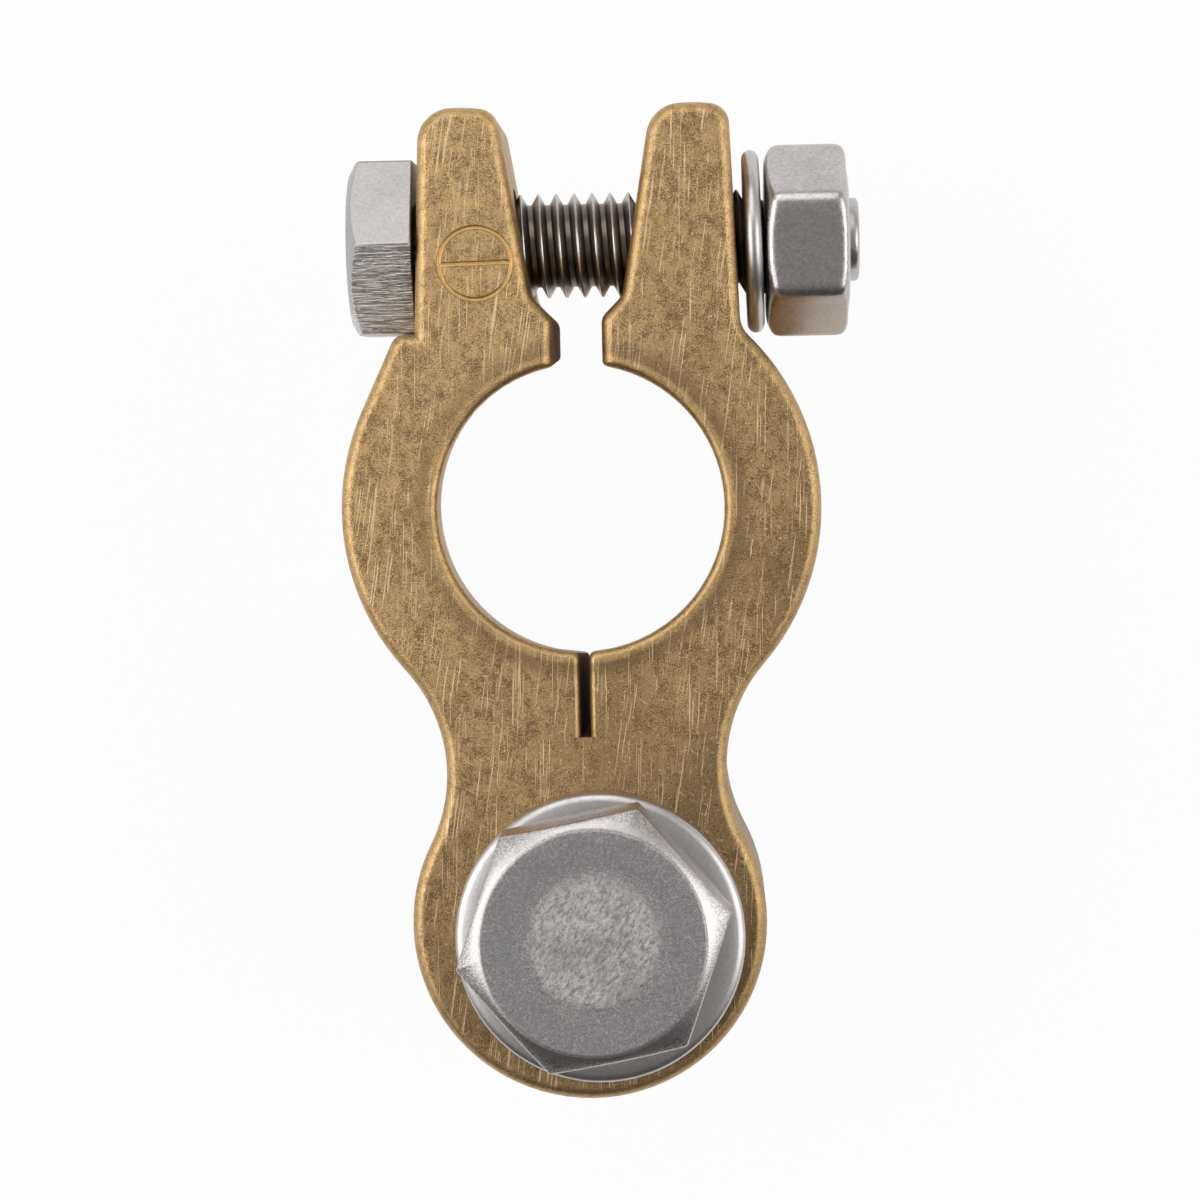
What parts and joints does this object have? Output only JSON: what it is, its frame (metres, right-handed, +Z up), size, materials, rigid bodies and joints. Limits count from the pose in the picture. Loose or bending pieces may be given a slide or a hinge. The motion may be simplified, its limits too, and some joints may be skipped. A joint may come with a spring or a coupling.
{
  "type": "battery terminal clamp",
  "caption": "Keyhole-shaped brass clamp that closes on a tapered battery post by a cross bolt, with a lug bolt on its round tail for a cable eye.",
  "frame": {"origin": "axis of the post bore, on the clamp face next to the battery", "axes": "+Z up the battery post and away from the battery, +Y from the post towards the two ears, +X towards the side that carries the clamp nut"},
  "size_m": [0.0286, 0.0543, 0.0303],
  "materials": {
    "brass": "tumbled satin with burnished edges",
    "bolt_steel": "satin stainless",
    "washer_steel": "polished stainless"
  },
  "bodies": {
    "clamp": {"clamp_body": "brass", "clamp_bolt": "bolt_steel", "lug_flat_washer": "washer_steel"},
    "clamp_nut_carriage": {"clamp_spring_washer": "washer_steel"},
    "clamp_nut": {"clamp_nut": "bolt_steel"},
    "lug_bolt": {"lug_bolt": "bolt_steel"},
    "lug_nut_carriage": {"lug_flat_washer_back": "washer_steel", "lug_spring_washer": "washer_steel"},
    "lug_nut": {"lug_nut": "bolt_steel"}
  },
  "joints": [
    {"name": "clamp_nut_travel", "type": "slide", "parent": "clamp", "child": "clamp_nut_carriage", "axis": [1, 0, 0], "range_m": [0, 0.004]},
    {"name": "clamp_nut_turn", "type": "hinge", "parent": "clamp_nut_carriage", "child": "clamp_nut", "pos_m": [0.0127, 0.01455, 0.0055], "axis": [1, 0, 0], "range_deg": [0, 1450]},
    {"name": "lug_bolt_turn", "type": "hinge", "parent": "clamp", "child": "lug_bolt", "pos_m": [0.0004, -0.02288, 0.0055], "axis": [0, 0, 1], "continuous": true},
    {"name": "lug_nut_travel", "type": "slide", "parent": "lug_bolt", "child": "lug_nut_carriage", "axis": [0, 0, -1], "range_m": [0, 0.00625]},
    {"name": "lug_nut_turn", "type": "hinge", "parent": "lug_nut_carriage", "child": "lug_nut", "pos_m": [0.0004, -0.02288, -0.0065], "axis": [0, 0, -1], "range_deg": [0, 1810]}
  ],
  "couplings": [
    {"joint": "clamp_nut_turn", "follows": "clamp_nut_travel", "rad_per_m": 6283.2},
    {"joint": "lug_nut_turn", "follows": "lug_nut_travel", "rad_per_m": 5026.5}
  ]
}
